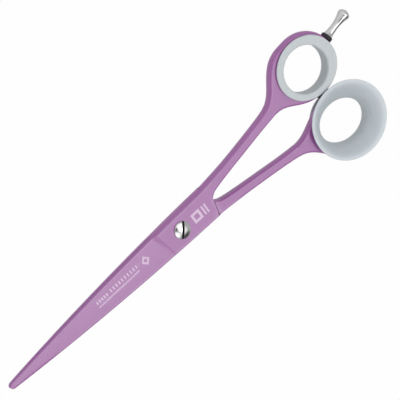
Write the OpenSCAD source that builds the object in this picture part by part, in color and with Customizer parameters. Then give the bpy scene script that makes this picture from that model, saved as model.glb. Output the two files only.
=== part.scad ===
// Hairdressing shears, plain edge, right hand pattern. Units are millimetres.
// The pivot axis is Z. Tips point along -X, finger rings along +X.
// The finger ring is on the +Y side and its blade lies above the meeting plane z = 0.

/* [Blades] */
// Distance from the pivot axis to the blade tips
blade_length = 93.5; // [80:0.1:110]
// Thickness of one half at the pivot block
block_thickness = 2.4; // [1.8:0.1:3]
// Thickness of one blade at its tip
tip_thickness = 0.9; // [0.6:0.1:1.4]
// Width of the ground bevel along each cutting edge
bevel_width = 0.5; // [0.4:0.1:1.2]

/* [Handles] */
// Half of the thickness of shanks and rings
shank_half = 2.2; // [1.8:0.1:2.4]
// Distance from the pivot axis to the centre of the finger hole
finger_hole_x = 79.3; // [79:0.1:79.8]
// Sideways distance of the centre of the finger hole
finger_hole_y = 14.4; // [14.2:0.1:14.6]
// Distance from the pivot axis to the centre of the thumb hole
thumb_hole_x = 79.6; // [79.2:0.1:80]
// Sideways distance of the centre of the thumb hole
thumb_hole_y = 14; // [13.9:0.1:14.2]
// Radius of the seats that hold the soft inserts
seat_radius = 11.7; // [11.4:0.1:11.8]

/* [Inserts] */
// Radius of the straight hole in the finger insert
finger_bore = 9.85; // [9:0.05:10.4]
// Radius of the flat flange of the finger insert
finger_flange = 13.3; // [12.8:0.1:13.4]
// Height of the thumb funnel above the meeting plane
funnel_height = 5; // [4.8:0.1:6]

/* [Pivot screw] */
// Radius of the screw head
head_radius = 3.6; // [3.2:0.1:4.4]
// Height of the domed top above the rim of the head
dome_height = 0.7; // [0.5:0.05:1]
// Direction of the screwdriver slot
slot_angle = 51; // [0:1:180]

/* [Finger rest] */
// Direction of the finger rest from the centre of its ring
rest_angle = 11.2; // [5:0.1:20]
// Length of the finger rest outside its washer
rest_length = 12.5; // [10:0.1:16]

/* [Hidden] */
$fn = 96;

lavender = [0.69, 0.52, 0.70];
steel = [0.78, 0.78, 0.80];
soft = [0.75, 0.78, 0.79];
black = [0.06, 0.06, 0.07];

face_gap = 0.04;
crotch_x = 17.6;
step_slope = 0.27;
step_gap = 0.25;
insert_low = -3.6;
insert_high = 3.45;
ring_shift = 1.3;
ring_r = 13.8;
thumb_ring_r = 12.95;
head_side = 0.5;
oval_turn = -12.5;
shoulder_r = 2.5;
thread_r = 2.0;
washer_r = 5.0;
recess_z = -0.5;
flat_y = 1.15;
rest_r = 1.2;
rest_start = 14.1;
rest_washer_t = 1.0;

// Smooth curve through a short list of [x, y] points (Catmull-Rom).
function at(p, i) = p[max(0, min(len(p) - 1, i))];
function spline_y(p, i, t) = let (a = at(p, i - 1), b = at(p, i), c = at(p, i + 1), d = at(p, i + 2))
  let (h = c[0] - b[0], m = (c[1] - a[1]) / (c[0] - a[0]) * h, n = (d[1] - b[1]) / (d[0] - b[0]) * h)
  b[1] * (2 * t * t * t - 3 * t * t + 1) + m * (t * t * t - 2 * t * t + t)
  + c[1] * (3 * t * t - 2 * t * t * t) + n * (t * t * t - t * t);
function seg_of(p, x) = max(0, min(len(p) - 2, len([for (q = p) if (q[0] <= x) 1]) - 1));
function curve(p, x) = let (i = seg_of(p, x)) spline_y(p, i, (x - p[i][0]) / (p[i + 1][0] - p[i][0]));

// Half width and thickness of a blade, s millimetres from the tip.
function blade_half(s) = let (full = 1.35 + 0.094 * s - 0.00038 * s * s)
  s >= 1.4 ? full : full * sqrt(max(0.02, 1 - pow((1.4 - s) / 1.4, 2)));
function blade_thick(s) = min(block_thickness,
  tip_thickness + (block_thickness - tip_thickness) * pow(s / (blade_length - 11), 0.8));

// Skin over a list of sections that all have the same number of points.
module loft(sections) {
  n = len(sections[0]);
  m = len(sections);
  sides = [for (i = [0 : m - 2]) for (j = [0 : n - 1]) let (k = (j + 1) % n)
    each [[i * n + j, i * n + k, (i + 1) * n + j], [i * n + k, (i + 1) * n + k, (i + 1) * n + j]]];
  first = [for (j = [1 : n - 2]) [0, j + 1, j]];
  last = [for (j = [1 : n - 2]) [(m - 1) * n, (m - 1) * n + j, (m - 1) * n + j + 1]];
  polyhedron(points = [for (s = sections) each s], faces = concat(sides, first, last), convexity = 6);
}

// One blade section. Cutting edge on +Y, spine on -Y, flat inner face at the bottom.
function blade_section(x) =
  let (s = x + blade_length, w = blade_half(s), t = blade_thick(s))
  let (on_block = x > -9, edge = on_block ? w : w - min(0.25, 0.2 * w))
  let (wall = on_block ? 0.7 : 0.08, b = min(on_block ? 1.0 : bevel_width, 0.45 * w), c = min(0.7, 0.35 * w))
  let (slant = x >= crotch_x ? step_slope : 0)
  [for (q = [[-w, face_gap], [-w, t * 0.6], [-w + c, t], [edge - b, t], [edge, face_gap + wall],
    [edge, face_gap]]) [x - slant * max(0, -q[0]), q[0], q[1]]];

module blade() {
  xs = concat([for (s = [0.02, 0.15, 0.4, 0.8, 1.4, 3, 6, 10]) s - blade_length],
    [for (i = [1 : 9]) -83.5 + i * (83.5 - 9.6) / 9], [-8.9, -2, 6, 12, crotch_x]);
  loft([for (x = xs) blade_section(x)]);
}

// One handle section. The outline is rounded like a flattened ellipse.
function sgn_pow(v, e) = sign(v) * pow(abs(v), e);
function shank_section(x, inner, outer, n) =
  let (lo = curve(inner, x), hi = curve(outer, x), c = (lo + hi) / 2, a = (hi - lo) / 2)
  let (e = 2 / (2.6 + min(3, a / 3)))
  [for (j = [0 : n - 1]) let (v = (j + 0.5) * 360 / n)
    [x, c - a * sgn_pow(cos(v), e), shank_half * sgn_pow(sin(v), e)]];

module handle(inner, outer) {
  xs = concat([15.5, 17, 18.5, 20, 22, 25], [for (x = [30 : 5 : 55]) x], [57, 59, 60.5, 62, 63.5, 65],
    [for (x = [67 : 2 : 79]) x]);
  loft([for (x = xs) shank_section(x, inner, outer, 12)]);
}

// Ring with a full round outer edge.
module ring(cx, cy, r) {
  translate([cx, cy, 0])
    rotate_extrude()
      union() {
        translate([r - shank_half - 1.2, -shank_half]) square([1.2, 2 * shank_half]);
        translate([r - shank_half, 0]) circle(r = shank_half);
      }
}

// Room for the block of the other half, cut out of the lower side of the handle.
module step_room() {
  translate([0, 0, -4])
    linear_extrude(4 + face_gap)
      polygon([[0, -12], [crotch_x + step_gap, -12], [crotch_x + step_gap, 0],
        [crotch_x + step_gap - step_slope * 12, 12], [0, 12]]);
}

finger_inner = [[15.5, -0.2], [17.6, 0.2], [18.6, 1.0], [20, 1.9], [25, 3.05], [40, 5.45], [50, 7.05],
  [57, 7.95], [60, 8.15], [63, 7.6], [66, 6.0], [70, 3.5], [74, 1.75], [79, 0.75]];
finger_outer = [[15.5, 7.2], [20, 7.5], [30, 8.4], [40, 9.85], [50, 11.55], [55, 12.6], [58, 13.7],
  [61, 16.1], [64, 20.2], [67, 23.9], [70, 26.4], [74, 28.0], [79, 28.5]];
thumb_inner = [[15.5, -0.2], [17.6, 0.2], [18.6, 1.0], [20, 1.95], [25, 3.1], [40, 5.4], [50, 6.85],
  [57, 7.6], [60, 7.7], [63, 7.05], [66, 5.75], [70, 3.85], [74, 2.3], [79, 1.35]];
thumb_outer = [[15.5, 7.2], [20, 7.5], [30, 8.4], [40, 9.7], [50, 11.15], [55, 12.05], [58, 12.8],
  [61, 14.3], [64, 17.1], [67, 20.9], [70, 24.0], [74, 26.3], [79, 26.9]];

module finger_half() {
  color(lavender)
    difference() {
      union() {
        blade();
        difference() {
          handle(finger_inner, finger_outer);
          step_room();
        }
        ring(finger_hole_x + ring_shift, finger_hole_y + 0.4, ring_r);
      }
      // seat of the soft insert
      translate([finger_hole_x, finger_hole_y, -10]) cylinder(r = seat_radius, h = 20);
      // running hole for the shoulder of the pivot screw
      translate([0, 0, -1]) cylinder(r = shoulder_r + 0.05, h = 6);
      // flat for the bumper and the hole for its stem
      translate([76.9, -2, -3]) cube([6, 2 + flat_y, 6]);
      translate([79.9, 0, 0]) rotate([-90, 0, 0]) cylinder(r = 0.9, h = 2.6);
      // spot face and threaded hole for the finger rest
      rest_place() translate([rest_start, 0, 0]) rotate([0, 90, 0]) cylinder(r = 2.8, h = 3);
      rest_place() translate([8, 0, 0]) rotate([0, 90, 0]) cylinder(r = rest_r + 0.05, h = 8);
    }
}

module thumb_half() {
  color(lavender)
    rotate([180, 0, 0])
      difference() {
        union() {
          blade();
          difference() {
            handle(thumb_inner, thumb_outer);
            step_room();
          }
          ring(thumb_hole_x + 0.7, thumb_hole_y, thumb_ring_r);
        }
        // seat of the soft insert
        translate([thumb_hole_x, thumb_hole_y, -10]) cylinder(r = seat_radius, h = 20);
        // threaded hole for the pivot screw
        translate([0, 0, -1]) cylinder(r = thread_r + 0.05, h = 6);
        // recess for the slide washer
        translate([0, 0, -1]) cylinder(r = washer_r + 0.15, h = 1 - recess_z);
      }
}

module pivot_screw() {
  dome_r = (pow(head_radius, 2) + pow(dome_height, 2)) / (2 * dome_height);
  rim_z = block_thickness + head_side;
  color(steel)
    difference() {
      union() {
        // domed head
        rotate_extrude()
          difference() {
            union() {
              translate([0, block_thickness]) square([head_radius, head_side]);
              intersection() {
                translate([0, rim_z + dome_height - dome_r]) circle(r = dome_r, $fn = 180);
                translate([0, rim_z]) square([head_radius, dome_height + 1]);
              }
            }
            translate([-10, -10]) square([10, 20]);
          }
        // shoulder that turns in the finger half
        translate([0, 0, 0.05]) cylinder(r = shoulder_r, h = block_thickness);
        // threaded end in the thumb half
        translate([0, 0, -2.15]) cylinder(r = thread_r, h = 2.3);
        translate([0, 0, -2.4]) cylinder(r1 = thread_r - 0.25, r2 = thread_r, h = 0.25);
      }
      // screwdriver slot
      rotate([0, 0, slot_angle]) translate([-6, -0.5, rim_z + dome_height - 0.9]) cube([12, 1, 3]);
    }
}

module slide_washer() {
  color([0.92, 0.92, 0.9])
    translate([0, 0, recess_z + 0.03])
      difference() {
        cylinder(r = washer_r, h = 0.48);
        translate([0, 0, -1]) cylinder(r = shoulder_r + 0.1, h = 3);
      }
}

// Half profile of the finger insert below its top flange: wall, lips and the lower flange.
module finger_profile() {
  translate([finger_bore, -2.6]) square([seat_radius - 0.05 - finger_bore, 5.4]);
  translate([finger_bore + 0.5, insert_low]) square([2.0, -insert_low - shank_half - 0.15]);
  translate([finger_bore + 2.4, -shank_half - 0.75]) circle(r = 0.6);
  translate([finger_bore + 0.6, insert_low + 0.6]) circle(r = 0.6);
  translate([finger_bore, insert_low + 0.6]) square([1, 2]);
}

// The top flange reaches further out on the side of the finger rest.
module finger_insert() {
  color(soft)
    difference() {
      union() {
        translate([finger_hole_x, finger_hole_y, 0]) rotate_extrude() finger_profile();
        translate([finger_hole_x + 0.7, finger_hole_y + 0.25, 0])
          rotate_extrude() {
            translate([0, shank_half + 0.15]) square([finger_flange - 0.5, insert_high - shank_half - 0.15]);
            translate([0, shank_half + 0.65]) square([finger_flange, insert_high - shank_half - 1.15]);
            translate([finger_flange - 0.5, shank_half + 0.65]) circle(r = 0.5);
            translate([finger_flange - 0.5, insert_high - 0.5]) circle(r = 0.5);
          }
      }
      translate([finger_hole_x, finger_hole_y, -10]) cylinder(r = finger_bore, h = 20);
      // rounded upper lip of the hole
      translate([finger_hole_x, finger_hole_y, insert_high - 0.6])
        cylinder(r1 = finger_bore, r2 = finger_bore + 0.6, h = 0.61);
    }
}

// One closed loop of the thumb insert, [height, half length, half width, shift], turned about the hole.
function oval(q, n) = [for (j = [0 : n - 1]) let (v = j * 360 / n, x = q[1] * cos(v), y = q[2] * sin(v))
  [thumb_hole_x + q[3] + x * cos(oval_turn) - y * sin(oval_turn),
    -thumb_hole_y + 0.08 * q[3] + x * sin(oval_turn) + y * cos(oval_turn), q[0]]];

module thumb_insert() {
  n = 64;
  top = funnel_height;
  s = seat_radius - 0.05;
  rows = [
    [insert_low, 11.2, 9.8, 0], [-3.2, 10.65, 9.05, 0], [-2, 10.35, 8.65, 0], [-0.7, 10.3, 8.55, 0],
    [0.8, 10.6, 9.05, 0.05], [2, 11.3, 10.1, 0.2], [3.1, 12.4, 11.75, 0.5], [4.1, 14.0, 13.65, 0.9],
    [top - 0.25, 15.5, 15.1, 1.25], [top, 16.1, 15.7, 1.4], [top - 0.2, 16.55, 16.1, 1.4],
    [top - 0.6, 16.7, 16.2, 1.4], [top - 1, 16.3, 15.85, 1.35], [3.2, 14.7, 14.5, 0.9],
    [2.6, 13.7, 13.4, 0.4], [shank_half + 0.15, s + 0.7, s + 0.7, 0.1], [shank_half + 0.1, s, s, 0],
    [-shank_half - 0.1, s, s, 0], [-shank_half - 0.15, s + 1, s + 1, 0], [-2.8, 13, 13, 0],
    [-3.3, 12.8, 12.8, 0], [insert_low, 12.2, 12.2, 0]];
  m = len(rows);
  faces = [for (i = [0 : m - 1]) for (j = [0 : n - 1])
    let (k = (j + 1) % n, u = (i + 1) % m)
    each [[i * n + j, u * n + j, i * n + k], [i * n + k, u * n + j, u * n + k]]];
  color(soft)
    polyhedron(points = [for (r = rows) each oval(r, n)], faces = faces, convexity = 8);
}

// Places children on the ring so that local X is the axis of the finger rest.
module rest_place() {
  translate([finger_hole_x + ring_shift, finger_hole_y + 0.04, 0]) rotate([0, 0, rest_angle]) children();
}

module finger_rest() {
  base = rest_start + rest_washer_t;
  k = rest_length / 12.5;
  outline = [[0, 2.2], [0.7, 1.85], [1.8, 1.65], [3.2, 1.55], [4.6, 1.47], [6.2, 1.57], [7.6, 1.78],
    [8.9, 2.08], [9.8, 2.4], [10.5, 2.52], [11.2, 2.42], [11.8, 1.9], [12.3, 1.1]];
  color(steel)
    rest_place() {
      translate([base, 0, 0])
        rotate([0, 90, 0])
          rotate_extrude()
            polygon(concat([[0, 0]], [for (i = [0 : 24]) let (x = i * 0.5) [curve(outline, x), x * k]],
              [[1.1, 12.3 * k], [0, 12.5 * k]]));
      translate([base - 3.3, 0, 0]) rotate([0, 90, 0]) cylinder(r = rest_r, h = 3.5);
    }
}

module rest_washer() {
  color(black)
    rest_place()
      translate([rest_start + 0.02, 0, 0])
        rotate([0, 90, 0])
          difference() {
            cylinder(r = 2.5, h = rest_washer_t - 0.04);
            translate([0, 0, -1]) cylinder(r = rest_r + 0.1, h = 4);
          }
}

module bumper() {
  color(black)
    union() {
      translate([77.4, -1, -1.4]) cube([5, flat_y + 0.98, 2.8]);
      translate([79.9, flat_y - 0.1, 0]) rotate([-90, 0, 0]) cylinder(r = 0.87, h = 1.45);
    }
}

finger_half();
thumb_half();
pivot_screw();
slide_washer();
finger_insert();
thumb_insert();
finger_rest();
rest_washer();
bumper();
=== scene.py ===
"""Hairdressing shears with soft ring inserts and a screw-in finger rest."""
import math

import bmesh
import bpy
from mathutils import Matrix, Vector


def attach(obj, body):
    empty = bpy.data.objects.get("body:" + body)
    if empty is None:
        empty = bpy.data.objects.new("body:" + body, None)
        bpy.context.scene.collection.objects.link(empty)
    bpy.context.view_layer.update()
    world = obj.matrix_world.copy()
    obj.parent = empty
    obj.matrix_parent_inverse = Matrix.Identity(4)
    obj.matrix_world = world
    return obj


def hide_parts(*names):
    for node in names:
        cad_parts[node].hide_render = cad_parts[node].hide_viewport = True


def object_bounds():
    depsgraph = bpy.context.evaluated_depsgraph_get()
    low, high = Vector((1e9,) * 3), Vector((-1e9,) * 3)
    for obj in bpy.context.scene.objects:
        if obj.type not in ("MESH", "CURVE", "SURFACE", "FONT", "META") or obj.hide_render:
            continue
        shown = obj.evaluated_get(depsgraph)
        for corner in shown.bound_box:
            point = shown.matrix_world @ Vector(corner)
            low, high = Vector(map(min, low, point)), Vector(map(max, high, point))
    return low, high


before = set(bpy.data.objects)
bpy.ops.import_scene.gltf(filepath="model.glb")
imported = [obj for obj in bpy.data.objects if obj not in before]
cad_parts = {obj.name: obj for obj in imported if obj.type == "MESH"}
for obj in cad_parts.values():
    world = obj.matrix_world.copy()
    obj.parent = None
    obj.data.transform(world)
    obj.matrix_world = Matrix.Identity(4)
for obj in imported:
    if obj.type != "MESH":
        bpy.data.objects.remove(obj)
cad_low, cad_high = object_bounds()
MM = 0.001

# ---------------------------------------------------------------- shape data, in millimetres
BLADE = 93.5
BLOCK_T = 2.4
TIP_T = 0.9
GAP = 0.04
CROTCH = 17.6
SLOPE = 0.27
STEP_GAP = 0.15
SHANK_H = 2.2
NECK = 58.0
SEAT_R = 11.7
CREASE = 0.14          # step at the shoulder between blade and block
BEVEL = 0.36           # width of the ground bevel
ETCH_FLOOR = 1.2       # etched marks lie on the face above this height
SLOT_TURN = 51.0
SLOT_W, SLOT_FLOOR = 1.0, 2.65         # width of the screw's slot and height of its floor
HOLE_X, HOLE_Y = 79.3, 14.4
THUMB_X, THUMB_Y = 79.6, 14.0

FINGER = {
    "inner": [(15.5, -0.2), (17.6, 0.2), (18.6, 1.0), (20, 1.9), (25, 3.05), (40, 5.45), (50, 7.05),
              (57, 7.95), (60, 8.15), (63, 7.6), (66, 6.0), (70, 3.5), (74, 1.75), (79, 0.75)],
    "outer": [(15.5, 7.2), (20, 7.5), (30, 8.4), (40, 9.85), (50, 11.55), (55, 12.6), (58, 13.7),
              (61, 16.1), (64, 20.2), (67, 23.9), (70, 26.4), (74, 28.0), (79, 28.5)],
    "hole": (HOLE_X, HOLE_Y), "ring": (80.6, 14.8), "r": 13.8}
THUMB = {
    "inner": [(15.5, -0.2), (17.6, 0.2), (18.6, 1.0), (20, 1.95), (25, 3.1), (40, 5.4), (50, 6.85),
              (57, 7.6), (60, 7.7), (63, 7.05), (66, 5.75), (70, 3.85), (74, 2.3), (79, 1.35)],
    "outer": [(15.5, 7.2), (20, 7.5), (30, 8.4), (40, 9.7), (50, 11.15), (55, 12.05), (58, 12.8),
              (61, 14.3), (64, 17.1), (67, 20.9), (70, 24.0), (74, 26.3), (79, 26.9)],
    "hole": (THUMB_X, THUMB_Y), "ring": (80.3, 14.0), "r": 12.95}


def smooth(a, b, x):
    t = min(1.0, max(0.0, (x - a) / (b - a)))
    return t * t * (3 - 2 * t)


def curve(p, x):
    """Smooth curve through (x, y) points."""
    i = max(0, min(len(p) - 2, sum(1 for q in p if q[0] <= x) - 1))

    def at(k):
        return p[max(0, min(len(p) - 1, k))]
    a, b, c, d = at(i - 1), at(i), at(i + 1), at(i + 2)
    h = c[0] - b[0]
    t = (x - b[0]) / h
    m = (c[1] - a[1]) / (c[0] - a[0]) * h
    n = (d[1] - b[1]) / (d[0] - b[0]) * h
    return (b[1] * (2 * t ** 3 - 3 * t * t + 1) + m * (t ** 3 - 2 * t * t + t)
            + c[1] * (3 * t * t - 2 * t ** 3) + n * (t ** 3 - t * t))


class Skin:
    """Collects quads given by points; equal points are one vertex."""

    def __init__(self):
        self.index, self.points, self.faces = {}, [], []

    def v(self, p):
        key = tuple(round(c, 4) for c in p)
        if key not in self.index:
            self.index[key] = len(self.points)
            self.points.append(p)
        return self.index[key]

    def face(self, pts):
        ids = []
        for p in pts:
            i = self.v(p)
            if i not in ids:
                ids.append(i)
        if len(ids) >= 3:
            self.faces.append(ids)

    def grid(self, rows, closed=False):
        for a, b in zip(rows, rows[1:]):
            n = len(a)
            for j in range(n if closed else n - 1):
                k = (j + 1) % n
                self.face([a[j], a[k], b[k], b[j]])

    def build(self, name, turn=None):
        me = bpy.data.meshes.new(name)
        me.from_pydata([Vector(p) * MM for p in self.points], [], self.faces)
        bm = bmesh.new()
        bm.from_mesh(me)
        bmesh.ops.remove_doubles(bm, verts=bm.verts, dist=0.002 * MM)
        bmesh.ops.holes_fill(bm, edges=[e for e in bm.edges if e.is_boundary], sides=0)
        bmesh.ops.recalc_face_normals(bm, faces=bm.faces)
        if turn:
            bmesh.ops.transform(bm, matrix=turn, verts=bm.verts)
        bm.to_mesh(me)
        bm.free()
        ob = bpy.data.objects.new(name, me)
        bpy.context.scene.collection.objects.link(ob)
        return ob


# ---------------------------------------------------------------- one half
K = 8          # steps of the rounded edge, from the flat top to the equator
NT = 10        # points across the top of a shank
NL = 12        # points across the top of the block beside the crotch


def handle_h(x):
    return BLOCK_T + (SHANK_H - BLOCK_T) * smooth(18, 34, x)


def edge_profile(x):
    """[(inset, height)] from the flat top down to the equator, outer side."""
    h = handle_h(x)
    rho = 0.95
    w = smooth(12, 32, x)
    out = []
    for k in range(K + 1):
        f = k / K
        a = math.radians(90 * (1 - f))
        round_p = (rho * (1 - math.cos(a)), h * math.sin(a))
        if f < 0.7:
            cut_p = (1.0 - f / 0.7, h + (0.7 - h) * f / 0.7)
        else:
            cut_p = (0.0, 0.7 * (1 - (f - 0.7) / 0.3))
        out.append((round_p[0] * w + cut_p[0] * (1 - w), round_p[1] * w + cut_p[1] * (1 - w)))
    return out


def round_profile(x):
    h = handle_h(x)
    rho = 0.85
    return [(rho * (1 - math.cos(math.radians(90 * (1 - k / K)))),
             h * math.sin(math.radians(90 * (1 - k / K)))) for k in range(K + 1)]


def blade_half(s):
    full = 1.35 + 0.094 * s - 0.00038 * s * s
    return full if s >= 1.4 else full * math.sqrt(max(0.02, 1 - ((1.4 - s) / 1.4) ** 2))


def blade_thick(s):
    return min(BLOCK_T, TIP_T + (BLOCK_T - TIP_T) * (s / (BLADE - 11)) ** 0.8)


def end_x(y):
    return CROTCH - SLOPE * max(0.0, 0.2 - y)


def step_x(y):
    return CROTCH + STEP_GAP - SLOPE * y


def block_section(x, h):
    """Closed section of blade or block: spine, top, edge side, inner face."""
    s = x + BLADE
    t = blade_thick(s) - CREASE * (1 - smooth(-9.3, -8.5, x)) * smooth(-70, -12, x)
    on = smooth(-11, -8.6, x)
    w_in = w_out = blade_half(s)
    if x >= 12:
        w_out += (curve(h["outer"], x) - w_in) * smooth(12, CROTCH, x)
    edge = w_out - min(0.25, 0.2 * w_out) * (1 - on)
    c = min(0.7, 0.35 * w_in)
    last = x >= CROTCH - 1e-6
    pts = [(-w_in, GAP), (-w_in, t * 0.35), (-w_in, t * 0.6), (-w_in + c * 0.45, t * 0.86), (-w_in + c, t)]
    prof = edge_profile(max(x, 12.0)) if on >= 1 else None
    if prof is None:
        bw = min(BEVEL, 0.45 * w_out)
        z_top = t * 0.86
        cut = [(bw * (1 - k / (K - 1)), z_top + (GAP + 0.10 - z_top) * (k / (K - 1))) for k in range(K)]
        cut.append((0.0, GAP))
        blk = [(a, max(GAP, b)) for a, b in edge_profile(12.0)]
        prof = [(p[0] * (1 - on) + q[0] * on, p[1] * (1 - on) + q[1] * on) for p, q in zip(cut, blk)]
    else:
        prof = [(a, max(GAP, b)) for a, b in prof]
    y_split = 0.2 + round_profile(x)[0][0] if last else 0.2 + 1.0
    y_split = min(y_split, 0.3 * edge)
    y_edge = edge - prof[0][0]
    for j in range(1, NL):
        y = -w_in + c + (y_split + w_in - c) * j / NL
        pts.append((y, None))
    for j in range(NT):
        pts.append((y_split + (y_edge - y_split) * j / (NT - 1), None))
    y0, y1 = -w_in + c, y_edge
    z0, z1 = t, prof[0][1]
    pts = [(y, z if z is not None else z0 + (z1 - z0) * ((y - y0) / (y1 - y0)) ** 1.6) for y, z in pts]
    pts += [(edge - a, b) for a, b in prof[1:]]
    # inner face, hollow ground along the blade
    hollow = 0.16 * smooth(-91, -80, x) * (1 - smooth(-20, -12, x))
    inner = []
    for j in range(NT - 1, -1, -1):
        inner.append(y_split + (y_edge - y_split) * j / (NT - 1))
    for j in range(NL - 1, 0, -1):
        inner.append(-w_in + c + (y_split + w_in - c) * j / NL)
    for y in inner:
        u = (y + w_in) / (edge + w_in)
        dip = hollow * max(0.0, math.sin(math.pi * min(1, max(0, (u - 0.12) / 0.76)))) ** 0.7
        pts.append((y, GAP + dip))
    out = []
    n_top = 5 + NL - 1 + NT + K
    for i, (y, z) in enumerate(pts):
        px = x - 0.17 * y * smooth(-18, -11, x) * (1 - smooth(-6, 0, x))
        if last:
            px = end_x(y)
            if i >= n_top - 1 and y > 0.2:
                px = step_x(y)
        out.append((px, y, z))
    return out


def handle_section(x, h, first=False):
    """Closed section of the shank, from the top inner edge over the top, round the outer side,
    along the underside and up the inner side."""
    y_in, y_out = curve(h["inner"], x), curve(h["outer"], x)
    po, pi = edge_profile(x), round_profile(x)
    flat_in = y_in + pi[0][0]
    flat = [flat_in + (y_out - po[0][0] - y_in - pi[0][0]) * j / (NT - 1) for j in range(NT)]
    outer_low = [(a, -b) for a, b in reversed(po[:-1])]
    inner_low = [(a, -b) for a, b in reversed(pi[:-1])]
    pts = [(y, po[0][1]) for y in flat]
    pts += [(y_out - a, b) for a, b in po[1:]]
    pts += [(y_out - a, b) for a, b in outer_low]
    pts += [(y, -handle_h(x)) for y in reversed(flat[:-1])]
    pts += [(y_in + a, -b) for a, b in pi[1:]]
    pts += [(y_in + a, -b) for a, b in inner_low[:-1]]
    out = []
    for i, (y, z) in enumerate(pts):
        px = x
        if first:
            low = NT - 1 + K < i < NT - 1 + 2 * K + NT - 1 + K
            if i == NT - 1 + K:
                z, px = GAP, step_x(y)
            elif low:
                px = step_x(y)
        out.append((px, y, z))
    return out


def outline(h):
    """Points round yoke and ring from the inner neck corner to the outer neck corner."""
    (cx, cy), r = h["ring"], h["r"]
    pts = []
    n = 26
    for i in range(n + 1):
        x = NECK + (79 - NECK) * (i / n)
        pts.append((x, curve(h["inner"], x)))
    a0 = math.degrees(math.atan2(pts[-1][1] - cy, pts[-1][0] - cx))
    a1 = math.degrees(math.atan2(curve(h["outer"], 79) - cy, 79 - cx))
    m = 84
    for i in range(1, m):
        a = math.radians(a0 + (a1 - a0) * i / m)
        pts.append((cx + r * math.cos(a), cy + r * math.sin(a)))
    for i in range(n, -1, -1):
        x = NECK + (79 - NECK) * (i / n)
        pts.append((x, curve(h["outer"], x)))
    # even out the joins between the arcs
    for _ in range(3):
        q = list(pts)
        for i in range(2, len(pts) - 2):
            q[i] = tuple((pts[i - 1][k] + 2 * pts[i][k] + pts[i + 1][k]) / 4 for k in (0, 1))
        pts = q
    return pts


def make_half(name, h, turn=None):
    sk = Skin()
    # blade and block
    xs = [s - BLADE for s in (0.02, 0.1, 0.25, 0.45, 0.7, 1.0, 1.4, 2, 3, 4.5, 6.5, 9)]
    xs += [-84.5 + i * (84.5 - 11.6) / 24 for i in range(1, 25)]
    xs += [-11, -10.4, -9.8, -9.4, -9.2, -9.05, -8.9, -8.75, -8.6, -8.4, -8, -6]
    xs += [-3, 0, 3, 6, 9, 12, 13.5, 15, 16.3, CROTCH]
    secs = [block_section(x, h) for x in xs]
    sk.grid(secs, closed=True)
    sk.face(secs[0])
    # end of the block beside the crotch
    last = secs[-1]
    n_left = 5 + NL - 1
    top = last[:n_left + 1]
    split = last[n_left]
    along = [CROTCH, 17.9, 18.25, 18.6, 19.2, 20, 21, 22.5, 24, 26, 28, 30, 33, 36, 39]
    along += [42, 45, 48, 51, 54, 56, NECK]
    hs = [handle_section(x, h, first=(i == 0)) for i, x in enumerate(along)]
    inner_low_start = NT - 1 + 2 * K + NT - 1
    inner_side = hs[0][inner_low_start:] + [hs[0][0]]
    upper_inner = [p for p in inner_side if p[2] >= -1e-6]
    below = last[n_left + NT + K - 1:]
    bottom_left = [p for p in below if p[1] <= split[1] + 1e-6 and p[2] <= GAP + 0.5 and p[1] < 0.2]
    sk.face(top[:-1] + [split] + list(reversed(upper_inner))[1:] + bottom_left)
    # handle
    sk.grid(hs, closed=True)
    # ring
    loop = outline(h)
    hx, hy = h["hole"]
    m = len(loop)
    cols = []
    RAD = 7
    for i, p in enumerate(loop):
        a, b = loop[max(0, i - 1)], loop[min(m - 1, i + 1)]
        t = Vector((b[0] - a[0], b[1] - a[1])).normalized()
        nrm = Vector((-t.y, t.x))
        x = p[0]
        if x < 66 and (i < 30 or i > m - 31):
            straight = Vector((0, 1)) if i < 30 else Vector((0, -1))
            nrm = (straight * (1 - smooth(NECK, 64, x)) + nrm * smooth(NECK, 64, x)).normalized()
        prof = edge_profile(NECK)
        edge = [(p[0] + nrm.x * q[0], p[1] + nrm.y * q[0], q[1]) for q in prof]
        a = math.atan2(edge[0][1] - hy, edge[0][0] - hx)
        seat = (hx + SEAT_R * math.cos(a), hy + SEAT_R * math.sin(a))
        x0, y0, z0 = edge[0]
        top_row = [(seat[0] + (x0 - seat[0]) * k / RAD, seat[1] + (y0 - seat[1]) * k / RAD, z0)
                   for k in range(RAD)]
        full = top_row + edge + [(q[0], q[1], -q[2]) for q in reversed(edge[:-1])]
        full += [(q[0], q[1], -q[2]) for q in reversed(top_row)]
        cols.append(full)
    sk.grid(cols)
    # top and underside between neck and seat
    neck_top = hs[-1][:NT]
    neck_cols = []
    for p in reversed(neck_top):
        a = math.atan2(p[1] - hy, p[0] - hx)
        seat = (hx + SEAT_R * math.cos(a), hy + SEAT_R * math.sin(a))
        neck_cols.append([(seat[0] + (p[0] - seat[0]) * k / RAD, seat[1] + (p[1] - seat[1]) * k / RAD, p[2])
                          for k in range(RAD + 1)])
    sk.grid(neck_cols)
    sk.grid([[(x, y, -z) for x, y, z in c] for c in neck_cols])
    # wall of the seat
    rim = [c[0] for c in cols] + [c[0] for c in neck_cols[1:-1]]
    z = rim[0][2]
    rows = [[(q[0], q[1], z * (1 - 2 * k / 4)) for q in rim] for k in range(5)]
    sk.grid(rows, closed=True)
    return sk.build(name, turn)


def lathe(name, prof, steps, place=None):
    """Solid of revolution about Z from [(radius, height)], closed when it starts and ends off the axis."""
    sk = Skin()
    rows = []
    for i in range(steps):
        a = 2 * math.pi * i / steps
        rows.append([(r * math.cos(a), r * math.sin(a), z) for r, z in prof])
    sk.grid(rows + [rows[0]])
    ob = sk.build(name)
    if place:
        ob.data.transform(place)
    return ob


def cutter(r, z0, z1, place, steps=96):
    ob = lathe("cut", [(0, z0), (r, z0), (r, z1), (0, z1)], steps, place)
    return ob


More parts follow.
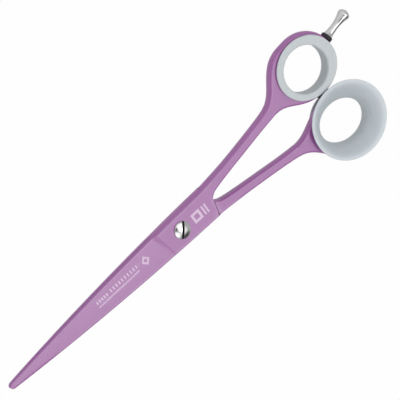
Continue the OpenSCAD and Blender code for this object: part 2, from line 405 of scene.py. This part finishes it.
def subtract(ob, *tools):
    for t in tools:
        m = ob.modifiers.new("cut", "BOOLEAN")
        m.operation, m.solver, m.object = "DIFFERENCE", "EXACT", t
        bpy.context.view_layer.update()
        dg = bpy.context.evaluated_depsgraph_get()
        me = bpy.data.meshes.new_from_object(ob.evaluated_get(dg))
        ob.modifiers.clear()
        old = ob.data
        ob.data = me
        bpy.data.meshes.remove(old)
        bpy.data.objects.remove(t)
    return ob


def finish_mesh(ob, angle=30, bevel=0.0, segments=2):
    me = ob.data
    for p in me.polygons:
        p.use_smooth = True
    me.set_sharp_from_angle(angle=math.radians(angle))
    if bevel:
        m = ob.modifiers.new("soft_edges", "BEVEL")
        m.width, m.segments, m.limit_method = bevel * MM, segments, "ANGLE"
        m.angle_limit = math.radians(angle)
        m.harden_normals = False
        m.use_clamp_overlap = True
    return ob


def T(x, y, z):
    return Matrix.Translation(Vector((x, y, z)) * MM)


def R(deg, axis):
    return Matrix.Rotation(math.radians(deg), 4, axis)


REST_ANGLE = 11.2
REST_SEAT = 13.75       # along the rest's axis, where the flat seat in the ring is cut
REST_START = 14.1       # along the same axis, where the CAD's washer starts; it is 1 thick
REST_AT = T(80.6, 14.44, 0) @ R(REST_ANGLE, "Z")

finger = make_half("finger_half_steel", FINGER)
thumb = make_half("thumb_half_steel", THUMB, R(180, "X"))
subtract(finger, cutter(2.55, -1, 5, T(0, 0, 0)),
         cutter(2.8, 0, 4, REST_AT @ T(REST_SEAT, 0, 0) @ R(90, "Y"), 64),
         cutter(1.25, 0, 8, REST_AT @ T(8, 0, 0) @ R(90, "Y"), 48),
         cutter(0.9, -0.5, 2.6, T(79.9, 0, 0) @ R(-90, "X"), 48))
subtract(thumb, cutter(2.05, -5, 1, T(0, 0, 0)), cutter(5.15, -0.5, 1, T(0, 0, 0)))
finish_mesh(finger, 28, 0.10)
finish_mesh(thumb, 28, 0.10)


# ---------------------------------------------------------------- materials
def new_material(name):
    m = bpy.data.materials.new(name)
    m.use_nodes = True
    nt = m.node_tree
    bsdf = nt.nodes["Principled BSDF"]
    return m, nt, bsdf


def coords(nt, scale):
    tc = nt.nodes.new("ShaderNodeTexCoord")
    mp = nt.nodes.new("ShaderNodeMapping")
    mp.inputs["Scale"].default_value = scale
    nt.links.new(tc.outputs["Object"], mp.inputs["Vector"])
    return mp.outputs["Vector"]


def noise(nt, vec, scale, detail=3.0, rough=0.5):
    n = nt.nodes.new("ShaderNodeTexNoise")
    n.inputs["Scale"].default_value = scale
    n.inputs["Detail"].default_value = detail
    n.inputs["Roughness"].default_value = rough
    nt.links.new(vec, n.inputs["Vector"])
    return n.outputs["Fac"]


def ramp(nt, fac, stops):
    r = nt.nodes.new("ShaderNodeValToRGB")
    cr = r.color_ramp
    while len(cr.elements) < len(stops):
        cr.elements.new(0.5)
    for e, (pos, col) in zip(cr.elements, stops):
        e.position = pos
        e.color = (*col, 1) if len(col) == 3 else col
    nt.links.new(fac, r.inputs["Fac"])
    return r.outputs["Color"]


def remap(nt, fac, lo, hi):
    r = nt.nodes.new("ShaderNodeMapRange")
    r.inputs["To Min"].default_value, r.inputs["To Max"].default_value = lo, hi
    nt.links.new(fac, r.inputs["Value"])
    return r.outputs["Result"]


def mix(nt, fac, a, b, mode="MIX"):
    n = nt.nodes.new("ShaderNodeMix")
    n.data_type, n.blend_type = "RGBA", mode
    for sock, v in ((n.inputs[0], fac), (n.inputs[6], a), (n.inputs[7], b)):
        if isinstance(v, bpy.types.NodeSocket):
            nt.links.new(v, sock)
        else:
            sock.default_value = v if isinstance(v, float) else (*v, 1)
    return n.outputs[2]


def bump(nt, bsdf, height, strength, distance):
    b = nt.nodes.new("ShaderNodeBump")
    b.inputs["Strength"].default_value = strength
    b.inputs["Distance"].default_value = distance
    nt.links.new(height, b.inputs["Height"])
    nt.links.new(b.outputs["Normal"], bsdf.inputs["Normal"])


def calc(nt, op, a, b=0.0):
    n = nt.nodes.new("ShaderNodeMath")
    n.operation = op
    for k, v in enumerate((a, b)):
        if isinstance(v, float):
            n.inputs[k].default_value = v
        else:
            nt.links.new(v, n.inputs[k])
    return n.outputs[0]


def etched(nt):
    """Mask of the plain bars, ticks, square and diamond etched on the upper face of the finger half."""
    tc = nt.nodes.new("ShaderNodeTexCoord")
    sep = nt.nodes.new("ShaderNodeSeparateXYZ")
    nt.links.new(tc.outputs["Object"], sep.inputs[0])
    x, y, z = (calc(nt, "MULTIPLY", o, 1000.0) for o in sep.outputs[:3])

    def within(v, lo, hi):
        off = calc(nt, "ABSOLUTE", calc(nt, "SUBTRACT", v, (lo + hi) / 2))
        return calc(nt, "LESS_THAN", off, (hi - lo) / 2)

    def bar(x0, x1, y0, y1):
        return calc(nt, "MULTIPLY", within(x, x0, x1), within(y, y0, y1))

    def ticks(x0, x1, y0, y1, pitch, share):
        saw = calc(nt, "FRACT", calc(nt, "DIVIDE", calc(nt, "SUBTRACT", x, x0), pitch))
        return calc(nt, "MULTIPLY", bar(x0, x1, y0, y1), calc(nt, "LESS_THAN", saw, share))

    def diamond(cx, cy, hx, hy):
        u = calc(nt, "DIVIDE", calc(nt, "ABSOLUTE", calc(nt, "SUBTRACT", x, cx)), hx)
        v = calc(nt, "DIVIDE", calc(nt, "ABSOLUTE", calc(nt, "SUBTRACT", y, cy)), hy)
        return calc(nt, "ADD", u, v)
    d = diamond(-19.2, 1.0, 2.0, 2.2)
    d = calc(nt, "MULTIPLY", calc(nt, "LESS_THAN", d, 1.0), calc(nt, "GREATER_THAN", d, 0.45))
    parts = [ticks(-38.0, -22.4, 0.9, 2.5, 1.55, 0.42), ticks(-45.5, -39.0, 0.9, 2.2, 1.3, 0.6),
             bar(-45.5, -23.4, -0.55, -0.20), ticks(-45.5, -23.4, -0.9, 0.15, 0.85, 0.35), d,
             bar(12.9, 13.7, -2.2, 2.0), bar(11.4, 12.2, -2.2, 2.0),
             calc(nt, "SUBTRACT", bar(6.0, 10.4, -2.2, 2.1), bar(7.1, 9.3, -1.1, 1.0))]
    total = parts[0]
    for p in parts[1:]:
        total = calc(nt, "MAXIMUM", total, p)
    return calc(nt, "MULTIPLY", total, calc(nt, "GREATER_THAN", z, ETCH_FLOOR))


def lavender_coat(name, marks=False):
    m, nt, b = new_material(name)
    fine = noise(nt, coords(nt, (120, 1400, 1400)), 1.0, 4, 0.6)
    patch = noise(nt, coords(nt, (1, 1, 1)), 180, 3, 0.5)
    speck = noise(nt, coords(nt, (1, 1, 1)), 2600, 2, 0.5)
    base = ramp(nt, patch, [(0.35, (0.305, 0.070, 0.315)), (0.65, (0.325, 0.080, 0.335))])
    base = mix(nt, 0.30, base, ramp(nt, fine, [(0.3, (0.290, 0.064, 0.302)), (0.7, (0.34, 0.088, 0.35))]))
    geo = nt.nodes.new("ShaderNodeNewGeometry")
    wear = ramp(nt, geo.outputs["Pointiness"], [(0.54, (0, 0, 0)), (0.62, (1, 1, 1))])
    base = mix(nt, remap(nt, wear, 0.0, 0.15), base, (0.55, 0.36, 0.57))
    rough = remap(nt, fine, 0.30, 0.40)
    if marks:
        mask = etched(nt)
        worn = calc(nt, "MULTIPLY", mask, remap(nt, patch, 0.62, 0.9))
        base = mix(nt, worn, base, (0.80, 0.62, 0.82))
        rough = calc(nt, "ADD", rough, calc(nt, "MULTIPLY", mask, 0.2))
    nt.links.new(base, b.inputs["Base Color"])
    b.inputs["Metallic"].default_value = 0.0
    b.inputs["IOR"].default_value = 2.0
    nt.links.new(rough, b.inputs["Roughness"])
    bump(nt, b, speck, 0.02, 0.00001)
    return m


def silicone(name, height_shade_stops):
    m, nt, b = new_material(name)
    cloud = noise(nt, coords(nt, (1, 1, 1)), 260, 4, 0.55)
    speck = noise(nt, coords(nt, (1, 1, 1)), 3800, 2, 0.5)
    tc = nt.nodes.new("ShaderNodeTexCoord")
    sep = nt.nodes.new("ShaderNodeSeparateXYZ")
    nt.links.new(tc.outputs["Object"], sep.inputs[0])
    # painted shade and light: the colour follows height, darker on the bore, walls and underside, lighter
    # on the top flange or rim
    tall = calc(nt, "MULTIPLY_ADD", sep.outputs[2], 100.0)
    tall.node.inputs[2].default_value = 0.4
    height_shade_colour = ramp(nt, tall, height_shade_stops)
    base = mix(nt, 0.10, height_shade_colour, ramp(nt, cloud, [(0.3, (0.52, 0.56, 0.58)), (0.7, (0.66, 0.70, 0.72))]))
    nt.links.new(base, b.inputs["Base Color"])
    nt.links.new(remap(nt, cloud, 0.40, 0.52), b.inputs["Roughness"])
    b.inputs["Subsurface Weight"].default_value = 0.25
    b.inputs["Subsurface Radius"].default_value = (0.8, 0.9, 1.0)
    b.inputs["Subsurface Scale"].default_value = 0.0012
    b.inputs["IOR"].default_value = 1.42
    bump(nt, b, speck, 0.08, 0.00002)
    return m


def polished(name, slot=None):
    m, nt, b = new_material(name)
    wipe = noise(nt, coords(nt, (1, 1, 1)), 420, 3, 0.5)
    base = ramp(nt, wipe, [(0.3, (0.60, 0.595, 0.60)), (0.7, (0.69, 0.685, 0.68))])
    rough = remap(nt, wipe, 0.06, 0.14)
    if slot is not None:
        # painted shade: the slot's walls and floor are painted near black, for the shade inside the slot
        tc = nt.nodes.new("ShaderNodeTexCoord")
        sep = nt.nodes.new("ShaderNodeSeparateXYZ")
        nt.links.new(tc.outputs["Object"], sep.inputs[0])
        a = math.radians(slot)
        off = calc(nt, "SUBTRACT", calc(nt, "MULTIPLY", sep.outputs[1], math.cos(a)),
                   calc(nt, "MULTIPLY", sep.outputs[0], math.sin(a)))
        between_walls = calc(nt, "LESS_THAN", calc(nt, "ABSOLUTE", off), (SLOT_W / 2 + 0.005) * MM)
        above_floor = calc(nt, "GREATER_THAN", sep.outputs[2], (SLOT_FLOOR - 0.05) * MM)
        slot_shade_mask = calc(nt, "MULTIPLY", between_walls, above_floor)
        base = mix(nt, slot_shade_mask, base, (0.045, 0.045, 0.05))
        rough = calc(nt, "ADD", rough, calc(nt, "MULTIPLY", slot_shade_mask, 0.4))
    nt.links.new(base, b.inputs["Base Color"])
    b.inputs["Metallic"].default_value = 1.0
    nt.links.new(rough, b.inputs["Roughness"])
    return m


def black_rubber():
    m, nt, b = new_material("black_rubber")
    grain = noise(nt, coords(nt, (1, 1, 1)), 2200, 3, 0.6)
    base = ramp(nt, grain, [(0.3, (0.008, 0.007, 0.010)), (0.7, (0.022, 0.020, 0.024))])
    nt.links.new(base, b.inputs["Base Color"])
    nt.links.new(remap(nt, grain, 0.5, 0.7), b.inputs["Roughness"])
    bump(nt, b, grain, 0.15, 0.00003)
    return m


def white_plastic():
    m, nt, b = new_material("slide_plastic")
    grain = noise(nt, coords(nt, (1, 1, 1)), 900, 3, 0.5)
    base = ramp(nt, grain, [(0.3, (0.72, 0.72, 0.70)), (0.7, (0.80, 0.80, 0.78))])
    nt.links.new(base, b.inputs["Base Color"])
    nt.links.new(remap(nt, grain, 0.35, 0.5), b.inputs["Roughness"])
    return m


LAVENDER, MARKED = lavender_coat("lavender_coat"), lavender_coat("lavender_coat_etched", True)
# painted shade and light by height for each insert: darker stops low down, lighter stops at the top rim
RING_HEIGHT_SHADE = [(0.60, (0.440, 0.470, 0.495)), (0.69, (0.585, 0.630, 0.650)), (0.76, (0.600, 0.645, 0.665))]
CUP_HEIGHT_SHADE = [(0.15, (0.440, 0.475, 0.500)), (0.76, (0.490, 0.540, 0.575)), (0.83, (0.530, 0.585, 0.620)),
             (0.88, (0.670, 0.720, 0.755))]
SILICONE, CUP = silicone("pale_silicone", RING_HEIGHT_SHADE), silicone("pale_silicone_cup", CUP_HEIGHT_SHADE)
# the screw's copy paints painted shade into its slot
POLISHED, SLOTTED = polished("polished_steel"), polished("polished_screw", SLOT_TURN)
BLACK, PLASTIC = black_rubber(), white_plastic()


def place(ob, body, slot, material, *nodes):
    ob.data.materials.clear()
    ob.data.materials.append(material)
    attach(ob, body)
    if nodes:
        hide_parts(*nodes)
    return ob


place(finger, "finger_side", "coated_steel", MARKED, "finger_half")
place(thumb, "thumb_side", "coated_steel", LAVENDER, "thumb_half")

# ---------------------------------------------------------------- pivot screw
HEAD_R, RIM_Z, DOME = 3.6, BLOCK_T + 0.5, 0.70
dome_r = (HEAD_R ** 2 + DOME ** 2) / (2 * DOME)
prof = [(0, -2.4), (1.75, -2.4), (2.0, -2.15), (2.0, 0.05), (2.5, 0.05), (2.5, BLOCK_T)]
prof += [(HEAD_R - 0.15, BLOCK_T), (HEAD_R, BLOCK_T + 0.15)]
prof += [(HEAD_R, RIM_Z - 0.16), (HEAD_R - 0.05, RIM_Z - 0.04)]
for i in range(1, 17):
    r = (HEAD_R - 0.16) * (1 - i / 16)
    prof.append((r, RIM_Z + DOME - dome_r + math.sqrt(dome_r ** 2 - r * r)))
screw = lathe("pivot_screw_head", prof, 96)
slot_tool = Skin()
ends = [[(x, y * SLOT_W / 2, z) for x, y in ((-6, -1), (6, -1), (6, 1), (-6, 1))] for z in (SLOT_FLOOR, 6)]
for end in ends:
    slot_tool.face(end)
slot_tool.grid(ends, closed=True)
subtract(screw, slot_tool.build("slot_cut", R(SLOT_TURN, "Z")))
finish_mesh(screw, 30, 0.07)
place(screw, "screw", "polished_steel", SLOTTED, "pivot_screw")

# ---------------------------------------------------------------- slide washer
prof = [(2.6, -0.45), (2.6, -0.02), (2.65, 0.01), (4.9, 0.01), (5.0, -0.05)]
prof += [(5.0, -0.42), (4.95, -0.47), (2.65, -0.47), (2.6, -0.45)]
washer = lathe("slide_washer_ring", prof, 96)
finish_mesh(washer, 40)
place(washer, "thumb_side", "slide_plastic", PLASTIC, "slide_washer")


# ---------------------------------------------------------------- soft inserts
def arc(cx, cz, r, a0, a1, n):
    angles = [math.radians(a0 + (a1 - a0) * i / n) for i in range(n + 1)]
    return [(cx + r * math.cos(a), cz + r * math.sin(a)) for a in angles]


FB, TOPZ, LOWZ = 9.85, 3.45, -3.6          # bore radius, top and underside of the finger insert
RIM_X, RIM_Y = 80.0, 14.7                  # centre of its top flange
RIM_A, RIM_B = 13.7, 12.9                  # half length and half width of the flange
LOOP = 160                                 # points round each insert
inner = arc(FB + 0.9, TOPZ - 0.75, 0.9, 180, 90, 8)
inner = [(r, TOPZ - 0.75 + (z - TOPZ + 0.75) * 0.75 / 0.9) for r, z in inner]
# edge of the top flange as (inset from its oval, height)
FLANGE = []
for a in range(0, 91, 15):
    FLANGE.append((0.5 - 0.5 * math.sin(math.radians(a)), TOPZ - 0.5 + 0.5 * math.cos(math.radians(a))))
FLANGE.append((0.0, 2.95))
for a in range(15, 91, 15):
    FLANGE.append((0.55 - 0.55 * math.cos(math.radians(a)), 2.9 - 0.55 * math.sin(math.radians(a))))
lower = [(11.9, 2.30), (11.68, 2.2), (11.65, 1.5), (11.65, -1.5), (11.68, -2.2), (11.8, -2.3)]
lower += arc(FB + 2.4, -2.95, 0.6, 90, 0, 5) + arc(FB + 2.4, LOWZ + 0.5, 0.5, 0, -90, 5)
lower += arc(FB + 0.6, LOWZ + 0.6, 0.6, -90, -180, 6) + [(FB, -1.5), (FB, 0), (FB, 1.5)]
sk = Skin()
cols = []
for j in range(LOOP):
    a = 2 * math.pi * j / LOOP
    c, s = math.cos(a), math.sin(a)
    col = [(HOLE_X + r * c, HOLE_Y + r * s, z) for r, z in inner]
    lip = Vector(col[-1][:2])
    rim = Vector((RIM_X + (RIM_A - 0.5) * c, RIM_Y + (RIM_B - 0.5) * s))
    for k in range(1, 6):
        q = lip.lerp(rim, k / 6)
        col.append((q.x, q.y, TOPZ - 0.02 * math.sin(math.pi * k / 6)))
    col += [(RIM_X + (RIM_A - i) * c, RIM_Y + (RIM_B - i) * s, z) for i, z in FLANGE]
    col += [(HOLE_X + r * c, HOLE_Y + r * s, z) for r, z in lower]
    cols.append(col + [col[0]])
sk.grid(cols + [cols[0]])
ins_f = sk.build("finger_insert_ring")
finish_mesh(ins_f, 50)
place(ins_f, "finger_side", "soft_insert", SILICONE, "finger_insert")

OVAL_TURN = math.radians(-12.5)
# (height, half length, half width, shift away from the pivot), up the inside and down the outside
# the rows in the seat keep their corners: no points are added after them
SEAT_ROWS = range(14, 19)
ROWS = [(-3.6, 11.2, 9.8, 0), (-3.2, 10.65, 9.05, 0), (-2, 10.35, 8.65, 0), (-0.7, 10.3, 8.55, 0),
        (0.8, 10.6, 9.05, 0.05), (2, 11.3, 10.1, 0.2), (3.1, 12.4, 11.75, 0.5), (4.1, 14.0, 13.65, 0.9),
        (4.75, 15.5, 15.1, 1.25), (5, 16.1, 15.7, 1.4), (4.8, 16.55, 16.1, 1.4), (4.4, 16.7, 16.2, 1.4),
        (4, 16.3, 15.85, 1.35), (3.2, 14.7, 14.5, 0.9), (2.6, 13.7, 13.4, 0.4), (2.35, 12.35, 12.35, 0.1),
        (2.3, 11.65, 11.65, 0), (0, 11.65, 11.65, 0), (-2.3, 11.65, 11.65, 0), (-2.35, 12.65, 12.65, 0),
        (-2.8, 13, 13, 0), (-3.3, 12.8, 12.8, 0), (-3.6, 12.2, 12.2, 0)]


def between(a, b, c, d, t):
    """Catmull-Rom point at t on the stretch from b to c."""
    out = []
    for p, q, r, s in zip(a, b, c, d):
        square, cube = 2 * p - 5 * q + 4 * r - s, 3 * q - p - 3 * r + s
        out.append(0.5 * (2 * q + (r - p) * t + square * t * t + cube * t ** 3))
    return tuple(out)


dense = []
n = len(ROWS)
for i in range(n):
    a, b, c, d = (ROWS[(i + k) % n] for k in (-1, 0, 1, 2))
    if i in SEAT_ROWS:
        dense.append(b)
        continue
    for k in range(3):
        dense.append(between(a, b, c, d, k / 3))
sk = Skin()
rows = []
turn_c, turn_s = math.cos(OVAL_TURN), math.sin(OVAL_TURN)
for z, a, b, shift in dense:
    row = []
    for j in range(LOOP):
        x, y = a * math.cos(2 * math.pi * j / LOOP), b * math.sin(2 * math.pi * j / LOOP)
        row.append((THUMB_X + shift + x * turn_c - y * turn_s,
                    -THUMB_Y + 0.08 * shift + x * turn_s + y * turn_c, z))
    rows.append(row)
sk.grid(rows + [rows[0]], closed=True)
ins_t = sk.build("thumb_insert_funnel")
finish_mesh(ins_t, 50)
place(ins_t, "thumb_side", "soft_insert", CUP, "thumb_insert")

# ---------------------------------------------------------------- finger rest and its washer
# (distance from the washer, radius)
REST = [(0, 2.2), (0.7, 1.85), (1.8, 1.65), (3.2, 1.55), (4.6, 1.47), (6.2, 1.57), (7.6, 1.78), (8.9, 2.08),
        (9.8, 2.4), (10.5, 2.52), (11.2, 2.42), (11.8, 1.9), (12.3, 1.1)]
prof = [(0, -3.3), (1.05, -3.3), (1.2, -3.15), (1.2, 0), (2.05, 0), (2.17, 0.08)]
prof += [(curve(REST, x), x) for x in [0.2 + i * 12.0 / 46 for i in range(47)]]
prof += [(0.85, 12.38), (0.55, 12.46), (0.25, 12.49), (0, 12.5)]
rest = lathe("finger_rest_peg", prof, 72, REST_AT @ T(REST_START + 1, 0, 0) @ R(90, "Y"))
finish_mesh(rest, 40)
place(rest, "rest", "polished_steel", POLISHED, "finger_rest")
prof = [(1.3, -0.30), (1.3, 0.91), (1.35, 0.96), (2.3, 0.96), (2.42, 0.84)]
prof += [(2.42, -0.2), (2.3, -0.32), (1.35, -0.33), (1.3, -0.30)]
rw = lathe("rest_washer_disc", prof, 72, REST_AT @ T(REST_START, 0, 0) @ R(90, "Y"))
finish_mesh(rw, 40)
place(rw, "rest_base", "black_rubber", BLACK, "rest_washer")

# ---------------------------------------------------------------- bumper
bm = bmesh.new()
BUMPER_MID, BUMPER_SIZE, BUMPER_ROUND = (79.9, 0.065, 0), (5, 2.13, 2.8), 0.25
block = Matrix.Diagonal([side * MM for side in BUMPER_SIZE] + [1])
bmesh.ops.create_cube(bm, size=1, matrix=T(*BUMPER_MID) @ block)
bmesh.ops.bevel(bm, geom=bm.edges[:], offset=BUMPER_ROUND * MM, segments=4, profile=0.5, affect="EDGES")
me = bpy.data.meshes.new("bumper_pad")
bm.to_mesh(me)
bm.free()
pad = bpy.data.objects.new("bumper_pad", me)
bpy.context.scene.collection.objects.link(pad)
finish_mesh(pad, 50)
place(pad, "finger_side", "black_rubber", BLACK, "bumper")

# ---------------------------------------------------------------- floor, light, camera
# the floor's half size in metres, its brightness to the camera, and its brightness to everything else
FLOOR_HALF, FLOOR_SEEN, FLOOR_LIGHT = 6, 0.99, 0.72
floor_me = bpy.data.meshes.new("floor")
corners = [(x * FLOOR_HALF, y * FLOOR_HALF, 0) for x, y in ((-1, -1), (1, -1), (1, 1), (-1, 1))]
floor_me.from_pydata(corners, [], [(0, 1, 2, 3)])
floor = bpy.data.objects.new("floor", floor_me)
bpy.context.scene.collection.objects.link(floor)
floor.location.z = cad_low.z - 0.0001
m, nt, b = new_material("floor_white")
near = nt.nodes.new("ShaderNodeEmission")
near.inputs["Strength"].default_value = FLOOR_LIGHT
glow = nt.nodes.new("ShaderNodeEmission")
glow.inputs["Strength"].default_value = FLOOR_SEEN
path = nt.nodes.new("ShaderNodeLightPath")
pick = nt.nodes.new("ShaderNodeMixShader")
nt.links.new(path.outputs["Is Camera Ray"], pick.inputs[0])
nt.links.new(near.outputs[0], pick.inputs[1])
nt.links.new(glow.outputs[0], pick.inputs[2])
nt.links.new(pick.outputs[0], nt.nodes["Material Output"].inputs["Surface"])
nt.nodes.remove(b)
floor_me.materials.append(m)

scene = bpy.context.scene
world = bpy.data.worlds.new("studio")
scene.world = world
world.use_nodes = True
nt = world.node_tree
bg = nt.nodes["Background"]
tc = nt.nodes.new("ShaderNodeTexCoord")


def lobe(centre, inner, outer, strength):
    """A soft round patch of light in one direction of the studio; angles in degrees."""
    dot = nt.nodes.new("ShaderNodeVectorMath")
    dot.operation = "DOT_PRODUCT"
    nt.links.new(tc.outputs["Generated"], dot.inputs[0])
    dot.inputs[1].default_value = Vector(centre).normalized()
    r = nt.nodes.new("ShaderNodeMapRange")
    r.interpolation_type = "SMOOTHSTEP"
    r.inputs["From Min"].default_value = math.cos(math.radians(outer))
    r.inputs["From Max"].default_value = math.cos(math.radians(inner))
    r.inputs["To Max"].default_value = strength
    nt.links.new(dot.outputs["Value"], r.inputs["Value"])
    return r.outputs["Result"]


# the room's even light, then (direction, inner angle, outer angle, strength) of each bright or dark patch
ROOM = 0.58
LOBES = [((-0.45, -0.40, 0.80), 12, 24, 1.0),
         ((0.20, 0.00, 0.98), 12, 24, 1.0),
         ((0.235, -0.43, 0.87), 8, 24, 0.75),
         ((0.0, 0.95, 0.25), 20, 70, 0.30),
         ((0.05, 0.50, 0.86), 6, 20, 0.35)]
SHADES = [((-0.22, 0.06, 0.97), 5, 13, 0.85), ((0.20, -0.90, 0.40), 10, 28, 0.8)]
light = ROOM
for patch in LOBES:
    light = calc(nt, "ADD", light, lobe(*patch))
for patch in SHADES:
    light = calc(nt, "MULTIPLY", light, calc(nt, "SUBTRACT", 1.0, lobe(*patch)))
nt.links.new(light, bg.inputs["Strength"])
bg.inputs["Color"].default_value = (1, 1, 1, 1)


def soft_light(name, loc, size, energy, target):
    d = bpy.data.lights.new(name, "AREA")
    d.shape, d.size, d.energy = "SQUARE", size, energy
    o = bpy.data.objects.new(name, d)
    scene.collection.objects.link(o)
    o.location = loc
    o.rotation_mode = "QUATERNION"
    o.rotation_quaternion = (Vector(target) - Vector(loc)).to_track_quat("-Z", "Y")


soft_light("key", loc=(0.085, -0.15, 0.48), size=0.16, energy=0.15, target=(-0.02, 0, 0))

CAM_AZ, CAM_EL, CAM_ROLL = 209.0, 61.0, 111.0
CAM_WIDTH, CAM_DIST, SENSOR = 0.1571, 6.5, 18
AIM_RIGHT, AIM_UP = 8.093, 11.386      # from the pivot to the middle of the picture, in millimetres
a, e = math.radians(CAM_AZ), math.radians(CAM_EL)
back = Vector((math.sin(a) * math.cos(e), -math.cos(a) * math.cos(e), math.sin(e)))
right0 = Vector((0, 0, 1)).cross(back).normalized()
up0 = back.cross(right0)
roll = math.radians(CAM_ROLL)
right = right0 * math.cos(roll) + up0 * math.sin(roll)
up = back.cross(right)
centre = (right * AIM_RIGHT + up * AIM_UP) * MM
cam_data = bpy.data.cameras.new("camera")
cam = bpy.data.objects.new("camera", cam_data)
scene.collection.objects.link(cam)
cam_data.sensor_width = SENSOR
cam_data.lens = SENSOR * CAM_DIST / CAM_WIDTH
cam_data.clip_start, cam_data.clip_end = 0.1, 30
facing = Matrix((right, up, back)).transposed().to_4x4()
cam.matrix_world = Matrix.Translation(centre + back * CAM_DIST) @ facing
scene.camera = cam
scene.view_settings.view_transform = "Standard"
